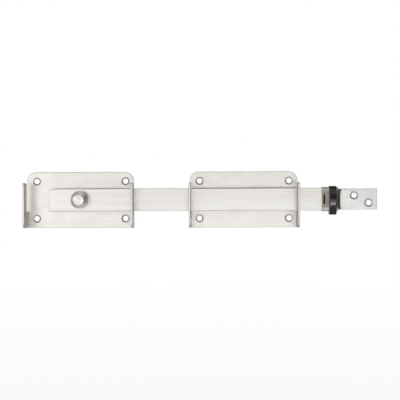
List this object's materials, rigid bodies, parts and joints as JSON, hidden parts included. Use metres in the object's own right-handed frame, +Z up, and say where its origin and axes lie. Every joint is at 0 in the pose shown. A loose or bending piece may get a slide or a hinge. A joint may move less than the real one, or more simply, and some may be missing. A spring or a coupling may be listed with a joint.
{
  "type": "gate latch",
  "caption": "Surface-mounted gate latch: a flat bar with a pull knob slides in the hooks of folded sheet guides and into a rubber-ringed keeper socket.",
  "frame": {"origin": "middle of the left guide's screw holes, on the mounting plane", "axes": "+Z up, +X along the bar towards the keeper, front facing -Y, mounting plane at Y = 0"},
  "size_m": [0.3142, 0.017, 0.05],
  "materials": {
    "sheet_steel": "satin cold-rolled stainless sheet",
    "bar_steel": "brushed lengthwise",
    "turned_steel": "fine turned",
    "strip_steel": "matte",
    "socket_steel": "dark satin",
    "fastener_steel": "plain bright",
    "ring_rubber": "smooth, slightly glossy"
  },
  "bodies": {
    "base": {"left_guide": "sheet_steel", "right_guide": "sheet_steel", "keeper_bracket": "strip_steel", "keeper_socket": "socket_steel", "socket_rivets": "fastener_steel", "bumper_ring": "ring_rubber"},
    "sliding_bar": {"slide_bar": "bar_steel", "pull_knob": "turned_steel", "knob_screw": "fastener_steel"}
  },
  "joints": [
    {"name": "bar_slide", "type": "slide", "parent": "base", "child": "sliding_bar", "axis": [1, 0, 0], "range_m": [-0.039, 0.0115]}
  ]
}
